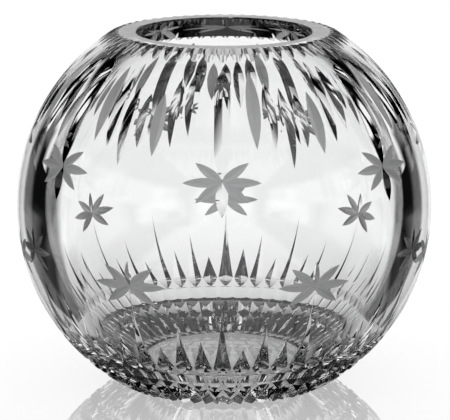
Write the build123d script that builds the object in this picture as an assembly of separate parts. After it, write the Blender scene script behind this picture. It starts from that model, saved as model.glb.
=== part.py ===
# Round crystal rose bowl: one piece of blown glass with a wheel-cut pattern.
# Millimetres, +Z up. The origin is the middle of the flat foot, and one flower faces -Y.
import os
from math import acos, asin, cos, degrees, radians, sin, sqrt, tan

from build123d import *

# The blown body: a ball cut flat at the rim and at the foot, with a ball-shaped hollow
body_diameter = 203.0
rim_diameter = 108.2
foot_diameter = 101.9
wall_thickness = 13.5
base_thickness = 9.0
floor_rounding = 8.0
neck_diameter = 88.0
rim_width = 11.5
mouth_rounding = 0.8

# Angles of the two V-edged cutting wheels, and how far each tool stands clear of the glass
leaf_wheel_angle = 118.0
blade_wheel_angle = 104.0
tool_clearance = 1.6
overswing_share = 1.1

# The pattern repeats around the bowl, and every repeat has the same number of places
repeats = 7
places = 8

# Rounded flutes under the rim
flute_radius = 5.0
flute_depth = 1.4
flute_end_latitude = 52.9

# Hanging leaves below the flutes: place in the repeat, latitude of the top and of the tip
leaf_depth = 2.0
leaf_angles = [
    (1.6, 49.7, 26.4),
    (2.4, 46.0, 24.9),
    (3.2, 43.9, 20.9),
    (4.0, 41.7, 26.1),
    (4.8, 42.1, 24.1),
    (5.6, 47.3, 26.8),
    (6.4, 49.9, 29.9),
]

# Long V groove from the flutes down to each upper flower
band_depth = 2.3
band_top_reach = 13.0
band_bottom_reach = 16.0
band_top_latitude = 50.3

# Flowers: an upper one at each first place, a lower one at each middle place
upper_flower_latitude = 17.9
lower_flower_latitude = -10.9
side_petal_length = 18.5
slant_petal_length = 15.5
slant_petal_angle = 37.0
petal_depth = 1.4
petal_overlap = 2.5
hanging_petal_length = 16.2
hanging_petal_depth = 1.8
standing_petal_length = 12.4
standing_petal_depth = 1.1

# Grass blades and flower stems, which rise from a band of shallow scoops
blade_depth = 3.3
blade_foot_reach = 6.5
blade_foot_latitude = -40.4
blade_path_share = 0.75
blade_tip_latitudes = [-14.3, -29.7, -22.0, -26.9, lower_flower_latitude, -29.7, -22.0, -26.9]
stem_place = 4
scoop_radius = 12.0
scoop_depth = 0.7

# Diamond band at the foot: rings cut across a groove at every place
diamond_depth = 2.6
ring_latitudes = [-46.2, -51.0]

# Sizes that follow from the ones above
body_radius = body_diameter / 2
rim_radius = rim_diameter / 2
foot_radius = foot_diameter / 2
mouth_radius = rim_radius - rim_width
hollow_radius = body_radius - wall_thickness
neck_radius = neck_diameter / 2
centre_height = sqrt(body_radius**2 - foot_radius**2)
neck_height = centre_height + sqrt(hollow_radius**2 - neck_radius**2)
bowl_height = centre_height + sqrt(body_radius**2 - rim_radius**2)
repeat_angle = 360 / repeats
place_angle = repeat_angle / places
turns = [index * repeat_angle for index in range(repeats)]
rim_latitude = degrees(acos(rim_radius / body_radius))
foot_latitude = -degrees(acos(foot_radius / body_radius))
centre = Vector(0, 0, centre_height)


def on_ball(azimuth, latitude, radius=body_radius):
    """Point at an azimuth (0 faces -Y) and latitude on a ball around the body's centre."""
    turn, rise = radians(azimuth), radians(latitude)
    flat = radius * cos(rise)
    return centre + Vector(flat * sin(turn), -flat * cos(turn), radius * sin(rise))


def around_flower(azimuth, latitude, bearing, reach):
    """Point on the body at an arc length and bearing (0 points east) from a flower's middle."""
    up = (on_ball(azimuth, latitude) - centre).normalized()
    east = Vector(0, 0, 1).cross(up).normalized()
    north = up.cross(east)
    along = east * cos(radians(bearing)) + north * sin(radians(bearing))
    swing = reach / body_radius
    return centre + (up * cos(swing) + along * sin(swing)) * body_radius


def v_profile(plane, depth, wheel_angle):
    """Section of a V wheel: its edge at the plane's origin, its flanks opening along +Y."""
    height = depth + tool_clearance
    half_width = height * tan(radians(wheel_angle / 2))
    corners = [(0, 0), (half_width, height), (-half_width, height)]
    return plane * make_face(Polyline(*corners, close=True))


def wheel_path(outward, along, reach, depth, wheel_angle):
    """Wheel at a groove's deepest point, and the hub it turns about to leave the glass.

    The wheel's edge follows the circle that touches the deepest point and meets the body's
    surface an arc length away. Returned are the section, the hub, and the turn needed.
    """
    swing = reach / body_radius
    half_chord = body_radius * sin(swing)
    rise = body_radius - depth - body_radius * cos(swing)
    path_radius = (half_chord**2 + rise**2) / (2 * rise)
    deepest = centre + outward * (body_radius - depth)
    across = outward.cross(along)
    section = v_profile(Plane(origin=deepest, x_dir=across, z_dir=along), depth, wheel_angle)
    hub = Axis(deepest - outward * path_radius, across)
    return section, hub, overswing_share * degrees(asin(half_chord / path_radius))


def leaf_cut(start, end, depth):
    """Pointed leaf between two points of the body, deepest half way."""
    outward = ((start - centre) + (end - centre)).normalized()
    along = (end - start).normalized()
    reach = body_radius * radians((start - centre).get_angle(end - centre)) / 2
    section, hub, turn = wheel_path(outward, along, reach, depth, leaf_wheel_angle)
    return revolve(section.rotate(hub, -turn), hub, 2 * turn)


def long_groove(top_latitude, bottom_latitude, depth, wheel_angle, top_reach, bottom_reach):
    """V groove down the front, level below the surface between a pointed top and bottom.

    With no reach at an end it stays open there, for a groove that starts in a ring or
    passes the foot.
    """
    sideways = Vector(1, 0, 0)
    high = top_latitude - degrees(top_reach / body_radius)
    low = bottom_latitude + degrees(bottom_reach / body_radius)
    start = Plane(
        origin=on_ball(0, high, body_radius - depth),
        x_dir=sideways,
        z_dir=on_ball(0, high - 90) - centre,
    )
    groove = revolve(v_profile(start, depth, wheel_angle), Axis(centre, sideways), high - low)
    for latitude, side, reach in ((high, 1, top_reach), (low, -1, bottom_reach)):
        if reach:
            outward = (on_ball(0, latitude) - centre).normalized()
            along = outward.cross(sideways) * side
            section, hub, turn = wheel_path(outward, along, reach, depth, wheel_angle)
            groove = groove + revolve(section, hub, turn)
    return groove


def around(tool, angles):
    """Copies of one tool, turned about the bowl's axis."""
    return [tool.rotate(Axis.Z, angle) for angle in angles]


def blown_body():
    """Ball with a flat rim and foot, and in it a hollow ball with a flat floor and a neck."""
    ball = Pos(0, 0, centre_height) * Sphere(body_radius)
    slab = Pos(0, 0, bowl_height / 2) * Box(body_diameter, body_diameter, bowl_height)
    hollow = Pos(0, 0, centre_height) * Sphere(hollow_radius)
    depth = neck_height - base_thickness
    hollow &= Pos(0, 0, base_thickness + depth / 2) * Box(body_diameter, body_diameter, depth)
    floor_edge = hollow.edges().filter_by(GeomType.CIRCLE).sort_by(Axis.Z)[0]
    hollow = fillet(floor_edge, floor_rounding)
    neck_length = bowl_height - neck_height
    neck = Pos(0, 0, neck_height + neck_length / 2) * Cone(neck_radius, mouth_radius, neck_length)
    body = (ball & slab) - (hollow + neck)
    mouth_edge = body.edges().filter_by(GeomType.CIRCLE).group_by(Axis.Z)[-1].sort_by(SortBy.RADIUS)[0]
    return fillet(mouth_edge, mouth_rounding)


def round_flutes(top, bottom, radius, depth_at_top, depth_at_bottom, overrun):
    """Round-bottomed flute or scoop at every place, straight between two latitudes."""
    high = on_ball(0, top, body_radius - depth_at_top)
    low = on_ball(0, bottom, body_radius - depth_at_bottom)
    along = (high - low).normalized()
    middle = (low + high) / 2 + Vector(1, 0, 0).cross(along) * radius
    tool = Plane(origin=middle, z_dir=along) * Cylinder(radius, (high - low).length + 2 * overrun)
    count = repeats * places
    return around(tool, [index * place_angle for index in range(count)])


def garland_cuts():
    """Hanging leaves, and the long bands that lead down to the upper flowers."""
    tools = []
    for place, top, tip in leaf_angles:
        tool = leaf_cut(on_ball(0, top), on_ball(0, tip), leaf_depth)
        tools += around(tool, [turn + place * place_angle for turn in turns])
    band_end_latitudes = band_top_latitude, upper_flower_latitude
    reaches = band_top_reach, band_bottom_reach
    band = long_groove(*band_end_latitudes, band_depth, leaf_wheel_angle, *reaches)
    return tools + around(band, turns)


def flower_cuts(latitude, lone_petal_bearing, lone_petal_length, lone_petal_depth):
    """Petals of one flower on the front: six alike, and a lone one opposite its stem or band."""
    petals = [(lone_petal_bearing, lone_petal_length, lone_petal_depth)]
    for side in (0, 180):
        petals.append((side, side_petal_length, petal_depth))
        petals.append((side + slant_petal_angle, slant_petal_length, petal_depth))
        petals.append((side - slant_petal_angle, slant_petal_length, petal_depth))
    tools = []
    for bearing, length, depth in petals:
        start = around_flower(0, latitude, bearing + 180, petal_overlap)
        tip = around_flower(0, latitude, bearing, length)
        tools.append(leaf_cut(start, tip, depth))
    return tools


def blade_cut(tip_latitude):
    """Grass blade or stem: deepest near its foot, with nearly straight sides up to its tip.

    The wheel's path to the tip is a little rounder than the body, and leans out of it.
    """
    sideways = Vector(1, 0, 0)
    low = blade_foot_latitude + degrees(blade_foot_reach / body_radius)
    deepest, tip = on_ball(0, low, body_radius - blade_depth), on_ball(0, tip_latitude)
    path_radius = blade_path_share * body_radius
    half_chord = (tip - deepest).length / 2
    inward = sideways.cross((deepest - tip).normalized())
    hub = (deepest + tip) / 2 + inward * sqrt(path_radius**2 - half_chord**2)
    outward = (deepest - hub).normalized()
    start = Plane(origin=deepest, x_dir=sideways, z_dir=sideways.cross(outward))
    turn = overswing_share * degrees(2 * asin(half_chord / path_radius))
    blade = revolve(v_profile(start, blade_depth, blade_wheel_angle), Axis(hub, sideways), -turn)
    outward = (deepest - centre).normalized()
    along = sideways.cross(outward)
    foot_path = wheel_path(outward, along, blade_foot_reach, blade_depth, blade_wheel_angle)
    return blade + revolve(*foot_path)


def diamond_groove():
    """Groove from the upper ring down through the foot's edge."""
    ends = ring_latitudes[0], overswing_share * foot_latitude
    return long_groove(*ends, diamond_depth, blade_wheel_angle, 0, 0)


def ring_cuts():
    """Rings of V section across the diamond grooves, which leave rows of small pyramids."""
    tools = []
    for latitude in ring_latitudes:
        edge = on_ball(0, latitude, body_radius - diamond_depth)
        outward = (edge - centre).normalized()
        section = Plane(origin=edge, x_dir=outward.cross(Vector(1, 0, 0)), z_dir=Vector(1, 0, 0))
        ring = revolve(v_profile(section, diamond_depth, blade_wheel_angle), Axis.Z)
        tools.append(ring.rotate(Axis.Z, place_angle / 4))
    return tools


rim_flutes = rim_latitude, flute_end_latitude, flute_radius, flute_depth, 0, flute_radius
foot_scoops = blade_foot_latitude, ring_latitudes[0], scoop_radius, scoop_depth, scoop_depth, 0
bowl = blown_body() - round_flutes(*rim_flutes)
bowl = bowl - garland_cuts()
bowl = bowl - round_flutes(*foot_scoops)
for place, tip_latitude in enumerate(blade_tip_latitudes):
    place_turns = [turn + place * place_angle for turn in turns]
    bowl = bowl - around(blade_cut(tip_latitude), place_turns)
    bowl = bowl - around(diamond_groove(), place_turns)
for petal in flower_cuts(upper_flower_latitude, -90, hanging_petal_length, hanging_petal_depth):
    bowl = bowl - around(petal, turns)
for petal in flower_cuts(lower_flower_latitude, 90, standing_petal_length, standing_petal_depth):
    bowl = bowl - around(petal, [turn + stem_place * place_angle for turn in turns])
bowl = bowl - ring_cuts()

os.makedirs("parts", exist_ok=True)
export_step(bowl, "parts/rose_bowl.step")
print("height", bowl_height, "mouth", 2 * mouth_radius, "volume", bowl.volume)
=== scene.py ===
import math

import bpy
import numpy as np
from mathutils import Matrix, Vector


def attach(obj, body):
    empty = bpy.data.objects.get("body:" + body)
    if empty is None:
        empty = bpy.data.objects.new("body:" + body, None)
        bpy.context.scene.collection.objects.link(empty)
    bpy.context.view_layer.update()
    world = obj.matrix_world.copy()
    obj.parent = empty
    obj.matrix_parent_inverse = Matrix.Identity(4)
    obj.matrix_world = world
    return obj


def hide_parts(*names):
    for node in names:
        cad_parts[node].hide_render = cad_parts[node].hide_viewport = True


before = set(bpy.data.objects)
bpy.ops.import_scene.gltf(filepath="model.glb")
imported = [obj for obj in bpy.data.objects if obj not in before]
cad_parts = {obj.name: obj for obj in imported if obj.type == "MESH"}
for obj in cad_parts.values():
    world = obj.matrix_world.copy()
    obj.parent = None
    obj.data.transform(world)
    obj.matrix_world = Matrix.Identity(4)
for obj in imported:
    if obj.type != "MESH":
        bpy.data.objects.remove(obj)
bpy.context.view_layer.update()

# The bowl: one thick ball of blown lead crystal, cut flat at the rim and the foot.
# Its pattern was ground into the outside with V-edged and round-edged wheels, and most
# cuts were then polished clear. The mesh is the CAD node's own, merged into one skin.
BODY_RADIUS = 0.1015
FOOT_RADIUS = 0.05095
WALL_THICKNESS = 0.0135
MERGE_STEP = 1e-6
SHARP_ANGLE = math.radians(14)
BALL_TOLERANCE = 3e-5
BALL_FACING = 0.97
LEVEL_FACING = 0.9999

centre_height = math.sqrt(BODY_RADIUS**2 - FOOT_RADIUS**2)
body_centre = np.array([0, 0, centre_height])


def merged_mesh(node):
    """Vertices and triangles of a CAD node: equal corners become one, and thin slips go."""
    source = node.data
    source.calc_loop_triangles()
    points = np.empty(len(source.vertices) * 3, np.float32)
    source.vertices.foreach_get("co", points)
    corners = np.empty(len(source.loop_triangles) * 3, np.int32)
    source.loop_triangles.foreach_get("vertices", corners)
    keys = np.round(points.reshape(-1, 3) / MERGE_STEP).astype(np.int64)
    _, first, merged = np.unique(keys, axis=0, return_index=True, return_inverse=True)
    triangles = merged.reshape(-1)[corners].reshape(-1, 3)
    a, b, c = triangles.T
    return points.reshape(-1, 3)[first], triangles[(a != b) & (b != c) & (c != a)]


def new_mesh(name, points, triangles):
    """Mesh object from arrays of points and triangles."""
    mesh = bpy.data.meshes.new(name)
    mesh.vertices.add(len(points))
    mesh.vertices.foreach_set("co", points.astype(np.float32).reshape(-1))
    mesh.loops.add(triangles.size)
    mesh.loops.foreach_set("vertex_index", triangles.astype(np.int32).reshape(-1))
    mesh.polygons.add(len(triangles))
    mesh.polygons.foreach_set("loop_start", np.arange(0, triangles.size, 3, dtype=np.int32))
    mesh.update(calc_edges=True)
    piece = bpy.data.objects.new(name, mesh)
    bpy.context.scene.collection.objects.link(piece)
    return piece


def unit(vectors):
    """Each vector over its own length."""
    return vectors / np.linalg.norm(vectors, axis=-1, keepdims=True)


def corner_normals(mesh, points, triangles):
    """Shading normals, and which triangles lie on the uncut outer ball.

    On the outer ball a normal points from the middle to the corner, and in the hollow
    it points back to the middle. Level faces keep their own normal, and the cuts have
    normals averaged over their gentle edges.
    """
    mesh.polygons.foreach_set("use_smooth", np.ones(len(triangles), bool))
    mesh.set_sharp_from_angle(angle=SHARP_ANGLE)
    normals = np.empty(triangles.size * 3, np.float32)
    mesh.corner_normals.foreach_get("vector", normals)
    normals = normals.reshape(-1, 3, 3)
    corners = points[triangles]
    flat = unit(np.cross(corners[:, 1] - corners[:, 0], corners[:, 2] - corners[:, 0]))
    spokes = corners - body_centre
    reach = np.linalg.norm(spokes, axis=2)
    for radius, side in ((BODY_RADIUS, 1), (BODY_RADIUS - WALL_THICKNESS, -1)):
        on_ball = (np.abs(reach - radius) < BALL_TOLERANCE).all(1)
        on_ball &= (flat * unit(spokes.mean(1))).sum(1) * side > BALL_FACING
        normals[on_ball] = side * unit(spokes[on_ball])
        if side == 1:
            outer = on_ball
    level = np.abs(flat[:, 2]) > LEVEL_FACING
    normals[level] = flat[level][:, None]
    return normals, outer


bowl_points, bowl_triangles = merged_mesh(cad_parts["rose_bowl"])
bowl = new_mesh("cut_crystal_bowl", bowl_points, bowl_triangles)
bowl_normals, outer_skin = corner_normals(bowl.data, bowl_points, bowl_triangles)
bowl.data.normals_split_custom_set(bowl_normals.reshape(-1, 3).tolist())

# The cuts: clear where the wheel marks were polished out, and satin where they were
# left as ground. Six petals of each flower and two leaves of each garland are satin.
REPEATS = 7
PLACES = 8
UPPER_FLOWER_LATITUDE = 17.9
LOWER_FLOWER_LATITUDE = -10.9
FLOWER_REACH = 0.0192
SATIN_PETALS = (0, 37, 143, 180, 217, 323)
CLEAR_PETALS = (90, 270)
SATIN_LEAF_PLACES = (1.6, 4.8)
LEAF_LATITUDES = (23.5, 50.5)
LEAF_HALF_PLACE = 0.42
OUTSIDE_SHARE = 0.94
CRYSTAL_IOR = 1.545
MARK_DETAIL = 3
MARK_HEIGHT = 0.0002


def satin_cuts(points, triangles, outer):
    """True for each triangle that lies in a satin petal or leaf.

    A petal owns what lies nearest to its middle line: the distance along the line is
    positive, and the distance across it is the smallest of all the flower's lines.
    """
    middles = points[triangles].mean(1) - body_centre
    spokes = unit(middles)
    azimuth = np.degrees(np.arctan2(spokes[:, 0], -spokes[:, 1]))
    latitude = np.degrees(np.arcsin(spokes[:, 2]))
    satin = np.zeros(len(triangles), bool)
    step = 360 / REPEATS
    for flower_latitude, turn in ((UPPER_FLOWER_LATITUDE, 0), (LOWER_FLOWER_LATITUDE, step / 2)):
        sideways = (azimuth - turn + step / 2) % step - step / 2
        rise = math.radians(flower_latitude)
        turned = np.radians(sideways)
        level = np.cos(np.radians(latitude))
        east = level * np.sin(turned)
        out = level * np.cos(turned)
        north = spokes[:, 2] * math.cos(rise) - out * math.sin(rise)
        front = spokes[:, 2] * math.sin(rise) + out * math.cos(rise)
        reach = np.arccos(np.clip(front, -1, 1)) * BODY_RADIUS
        bearing = np.arctan2(north, east)
        lines = np.radians(SATIN_PETALS + CLEAR_PETALS)[:, None]
        along = reach * np.cos(bearing - lines)
        across = reach * np.abs(np.sin(bearing - lines))
        owner = np.where(along > 0, across, 1).argmin(0)
        satin |= (reach < FLOWER_REACH) & (owner < len(SATIN_PETALS))
    place = (azimuth % step) / (step / PLACES)
    garland = (latitude > LEAF_LATITUDES[0]) & (latitude < LEAF_LATITUDES[1])
    for satin_place in SATIN_LEAF_PLACES:
        satin |= garland & (np.abs(place - satin_place) < LEAF_HALF_PLACE)
    return satin & ~outer & (np.linalg.norm(middles, axis=1) > OUTSIDE_SHARE * BODY_RADIUS)


def wheel_mark_group():
    """Shader group of the wheels' fine marks: noise over the piece, Grain marks to a metre."""
    group = bpy.data.node_groups.new("wheel_marks", "ShaderNodeTree")
    group.interface.new_socket("Grain", in_out="INPUT", socket_type="NodeSocketFloat")
    group.interface.new_socket("Height", in_out="OUTPUT", socket_type="NodeSocketFloat")
    grain = group.nodes.new("NodeGroupInput")
    height = group.nodes.new("NodeGroupOutput")
    place = group.nodes.new("ShaderNodeTexCoord")
    marks = group.nodes.new("ShaderNodeTexNoise")
    marks.inputs["Detail"].default_value = MARK_DETAIL
    group.links.new(place.outputs["Object"], marks.inputs["Vector"])
    group.links.new(grain.outputs["Grain"], marks.inputs["Scale"])
    group.links.new(marks.outputs["Fac"], height.inputs["Height"])
    return group


def crystal(name, colour, clear, roughness, bump, grain):
    """Clear or ground lead crystal: bump is how strong its wheel marks are, grain how many."""
    material = bpy.data.materials.new(name)
    material.use_nodes = True
    nodes = material.node_tree.nodes
    links = material.node_tree.links
    shader = nodes["Principled BSDF"]
    shader.inputs["Base Color"].default_value = (*colour, 1)
    shader.inputs["Metallic"].default_value = 0
    shader.inputs["Roughness"].default_value = roughness
    shader.inputs["IOR"].default_value = CRYSTAL_IOR
    shader.inputs["Transmission Weight"].default_value = clear
    marks = nodes.new("ShaderNodeGroup")
    marks.node_tree = wheel_marks
    marks.inputs["Grain"].default_value = grain
    relief = nodes.new("ShaderNodeBump")
    relief.inputs["Strength"].default_value = bump
    relief.inputs["Distance"].default_value = MARK_HEIGHT
    links.new(marks.outputs["Height"], relief.inputs["Height"])
    links.new(relief.outputs["Normal"], shader.inputs["Normal"])
    return material


wheel_marks = wheel_mark_group()
clear_crystal = crystal(
    "clear_crystal",
    colour=(0.995, 0.998, 1.0),
    clear=1,
    roughness=0,
    bump=0.02,
    grain=40,
)
satin_crystal = crystal(
    "satin_crystal",
    colour=(0.5, 0.505, 0.51),
    clear=0.5,
    roughness=0.6,
    bump=0.6,
    grain=2500,
)
bowl.data.materials.append(clear_crystal)
bowl.data.materials.append(satin_crystal)
satin = satin_cuts(bowl_points, bowl_triangles, outer_skin)
bowl.data.polygons.foreach_set("material_index", satin.astype(np.int32))
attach(bowl, "root")
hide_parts("rose_bowl")

# The camera: a long lens, almost straight in front of the bowl and a little above it,
# as in the photograph. It is aimed slightly below and right of the ball's middle.
CAMERA_DISTANCE = 15 * BODY_RADIUS
CAMERA_ELEVATION = math.radians(12.5)
CAMERA_AZIMUTH = math.radians(0.6)
AIM_DROP = 0.0029
AIM_RIGHT = 0.0004
SENSOR_WIDTH = 36
FOCAL_LENGTH = 248.2
NEAREST = 0.1
FARTHEST = 50

camera_data = bpy.data.cameras.new("photo_camera")
camera_data.sensor_width = SENSOR_WIDTH
camera_data.lens = FOCAL_LENGTH
camera_data.clip_start = NEAREST
camera_data.clip_end = FARTHEST
camera = bpy.data.objects.new("photo_camera", camera_data)
bpy.context.scene.collection.objects.link(camera)
back = Vector((
    math.sin(CAMERA_AZIMUTH) * math.cos(CAMERA_ELEVATION),
    -math.cos(CAMERA_AZIMUTH) * math.cos(CAMERA_ELEVATION),
    math.sin(CAMERA_ELEVATION),
))
camera.rotation_mode = "QUATERNION"
camera.rotation_quaternion = (-back).to_track_quat("-Z", "Y")
camera_up = camera.rotation_quaternion @ Vector((0, 1, 0))
camera_right = camera.rotation_quaternion @ Vector((1, 0, 0))
aim = Vector(body_centre) - camera_up * AIM_DROP + camera_right * AIM_RIGHT
camera.location = aim + back * CAMERA_DISTANCE
bpy.context.scene.camera = camera

# The table: a white glossy sheet that runs out of sight on every side. In the glass it
# has a pattern: a white strip ahead of the bowl and behind it, a narrower one to both
# sides, a dark grey patch between each two, and painted shade of the bowl round the foot.
TABLE_REACH = 6.0
TABLE_DROP = 0.0003
TABLE_CORNERS = ((-1, -1), (1, -1), (1, 1), (-1, 1))
TABLE_GREY = 0.35
TABLE_ROUGHNESS = 0.02
TABLE_IOR = 5
TABLE_GLOW = 0.4
STRIP_HALF = 0.105
STRIP_TURN = 0.04
STRIP_EDGE = ((0, 1), (0.34, 1), (0.39, 0.5), (0.44, 0.06), (0.48, 0.004), (1, 0.004))
SIDE_EDGE = ((0, 1), (0.14, 1), (0.19, 0.4), (0.24, 0.004), (1, 0.004))
SIDE_FADE = ((0, 0.25), (0.24, 0.25), (0.34, 1), (1, 1))
PATCH_SLANT = ((0, 0), (0.55, 0), (0.8, 1), (1, 1))
PATCH_FADE = ((0, 0.12), (0.46, 0.12), (0.52, 0), (1, 0))
# Painted shade of the bowl: grey under the foot, darkest in a ring just outside it, gone by 0.33
# m.
PAINTED_FOOT_SHADE = (
    (0, 0.42),
    (0.05, 0.42),
    (0.055, 0.03),
    (0.08, 0.03),
    (0.1, 0.42),
    (0.13, 0.68),
    (0.2, 0.85),
    (0.28, 0.97),
    (0.33, 1),
    (1, 1),
)


class Wiring:
    """A node tree, with short ways to lay maths and grey ramps into it."""

    def __init__(self, tree):
        self.nodes = tree.nodes
        self.links = tree.links

    def math(self, operation, *values):
        """Socket of a Math node's result, from sockets or numbers."""
        node = self.nodes.new("ShaderNodeMath")
        node.operation = operation
        for socket, value in zip(node.inputs, values):
            if isinstance(value, (int, float)):
                socket.default_value = value
            else:
                self.links.new(value, socket)
        return node.outputs[0]

    def grey(self, value, stops, start=0, end=1):
        """Grey level for a value between start and end, from stops of value and level."""
        node = self.nodes.new("ShaderNodeValToRGB")
        elements = node.color_ramp.elements
        while len(elements) < len(stops):
            elements.new(0.5)
        for element, (at, level) in zip(elements, stops):
            element.position = (at - start) / (end - start)
            element.color = (level, level, level, 1)
        share = self.math("DIVIDE", self.math("SUBTRACT", value, start), end - start)
        self.links.new(share, node.inputs["Fac"])
        return node.outputs["Color"]

    def apart(self, axes, across, ahead, half, turn=0):
        """How far outside a strip a place lies, for each unit along it.

        The strip is twice the half width, and its middle line leans by turn.
        """
        middle = self.math("MULTIPLY", axes.outputs[ahead], turn)
        side = self.math("ABSOLUTE", self.math("SUBTRACT", axes.outputs[across], middle))
        beyond = self.math("MAXIMUM", self.math("SUBTRACT", side, half), 0)
        return self.math("DIVIDE", beyond, self.math("ABSOLUTE", axes.outputs[ahead]))

    def slant(self, axes):
        """0 where a place lies ahead of or beside the bowl, and 1 midway between the two."""
        sides = [self.math("ABSOLUTE", axes.outputs[name]) for name in "XY"]
        return self.math("DIVIDE", self.math("MINIMUM", *sides), self.math("MAXIMUM", *sides))

    def glass_ray(self):
        """1 on a ray that has passed through glass or off a gloss, else 0."""
        ray = self.nodes.new("ShaderNodeLightPath").outputs
        bent = self.math("MAXIMUM", ray["Is Transmission Ray"], ray["Is Glossy Ray"])
        return self.math("MULTIPLY", bent, self.math("SUBTRACT", 1, ray["Is Camera Ray"]))


table = new_mesh(
    "studio_floor",
    np.array([[x * TABLE_REACH, y * TABLE_REACH, -TABLE_DROP] for x, y in TABLE_CORNERS]),
    np.array([[0, 1, 2], [0, 2, 3]]),
)
white_gloss = bpy.data.materials.new("white_table")
white_gloss.use_nodes = True
sheet = Wiring(white_gloss.node_tree)
top = sheet.nodes["Principled BSDF"]
top.inputs["Base Color"].default_value = (TABLE_GREY, TABLE_GREY, TABLE_GREY, 1)
top.inputs["Roughness"].default_value = TABLE_ROUGHNESS
top.inputs["IOR"].default_value = TABLE_IOR
ray = sheet.nodes.new("ShaderNodeLightPath")
glow = sheet.nodes.new("ShaderNodeEmission")
seen = sheet.math("MULTIPLY", ray.outputs["Is Camera Ray"], TABLE_GLOW)
sheet.links.new(seen, glow.inputs["Strength"])
lit = sheet.nodes.new("ShaderNodeAddShader")
sheet.links.new(top.outputs[0], lit.inputs[0])
sheet.links.new(glow.outputs[0], lit.inputs[1])

place = sheet.nodes.new("ShaderNodeTexCoord")
axes = sheet.nodes.new("ShaderNodeSeparateXYZ")
sheet.links.new(place.outputs["Object"], axes.inputs[0])
radius = sheet.nodes.new("ShaderNodeVectorMath")
radius.operation = "LENGTH"
sheet.links.new(place.outputs["Object"], radius.inputs[0])
along = sheet.grey(sheet.apart(axes, "X", "Y", STRIP_HALF, STRIP_TURN), STRIP_EDGE)
across = sheet.math(
    "MULTIPLY",
    sheet.grey(sheet.apart(axes, "Y", "X", 0), SIDE_EDGE),
    sheet.grey(sheet.math("ABSOLUTE", axes.outputs["X"]), SIDE_FADE),
)
patch = sheet.math(
    "MULTIPLY",
    sheet.grey(sheet.slant(axes), PATCH_SLANT),
    sheet.grey(radius.outputs["Value"], PATCH_FADE),
)
pattern = sheet.math("MAXIMUM", sheet.math("MAXIMUM", along, across), patch)
# The glass pattern darkened by the painted shade round the foot.
pattern_with_painted_shade = sheet.math("MULTIPLY", pattern, sheet.grey(radius.outputs["Value"], PAINTED_FOOT_SHADE))
mirrored = sheet.nodes.new("ShaderNodeEmission")
sheet.links.new(pattern_with_painted_shade, mirrored.inputs["Color"])
either = sheet.nodes.new("ShaderNodeMixShader")
sheet.links.new(sheet.glass_ray(), either.inputs[0])
sheet.links.new(lit.outputs[0], either.inputs[1])
sheet.links.new(mirrored.outputs[0], either.inputs[2])
sheet.links.new(either.outputs[0], sheet.nodes["Material Output"].inputs["Surface"])
table.data.materials.append(white_gloss)

# The studio round the table: plain white to the eye. In the glass it has low white
# screens ahead, behind and at both sides, narrow ones at the corners, a band of lamps
# round each corner, and a soft light overhead. Heights are degrees over the horizon.
SCREEN_SLANT = (
    (0, 1),
    (0.25, 1),
    (0.31, 0.65),
    (0.36, 0.08),
    (0.4, 0.005),
    (0.86, 0.005),
    (0.96, 0.8),
    (1, 1),
)
SCREEN_HEIGHT = ((-90, 1), (16, 1), (21, 0.01), (50, 0.01), (60, 0.5), (90, 0.5))
LAMP_SLANT = ((0, 0), (0.48, 0), (0.54, 1), (1, 1))
LAMP_HEIGHT = ((-90, 0), (6, 0), (9, 1), (18, 1), (21, 0), (90, 0))

studio = bpy.data.worlds.new("studio")
bpy.context.scene.world = studio
studio.use_nodes = True
walls = Wiring(studio.node_tree)
place = walls.nodes.new("ShaderNodeTexCoord")
axes = walls.nodes.new("ShaderNodeSeparateXYZ")
walls.links.new(place.outputs["Generated"], axes.inputs[0])
height = walls.math("DEGREES", walls.math("ARCSINE", axes.outputs["Z"]))
slant = walls.slant(axes)
screens = walls.math(
    "MULTIPLY",
    walls.grey(slant, SCREEN_SLANT),
    walls.grey(height, SCREEN_HEIGHT, -90, 90),
)
lamps = walls.math(
    "MULTIPLY",
    walls.grey(slant, LAMP_SLANT),
    walls.grey(height, LAMP_HEIGHT, -90, 90),
)
view = walls.nodes.new("ShaderNodeMix")
view.data_type = "RGBA"
view.inputs["A"].default_value = (1, 1, 1, 1)
walls.links.new(walls.glass_ray(), view.inputs["Factor"])
walls.links.new(walls.math("MAXIMUM", screens, lamps), view.inputs["B"])
walls.links.new(view.outputs["Result"], walls.nodes["Background"].inputs["Color"])

bpy.context.scene.view_settings.view_transform = "Standard"
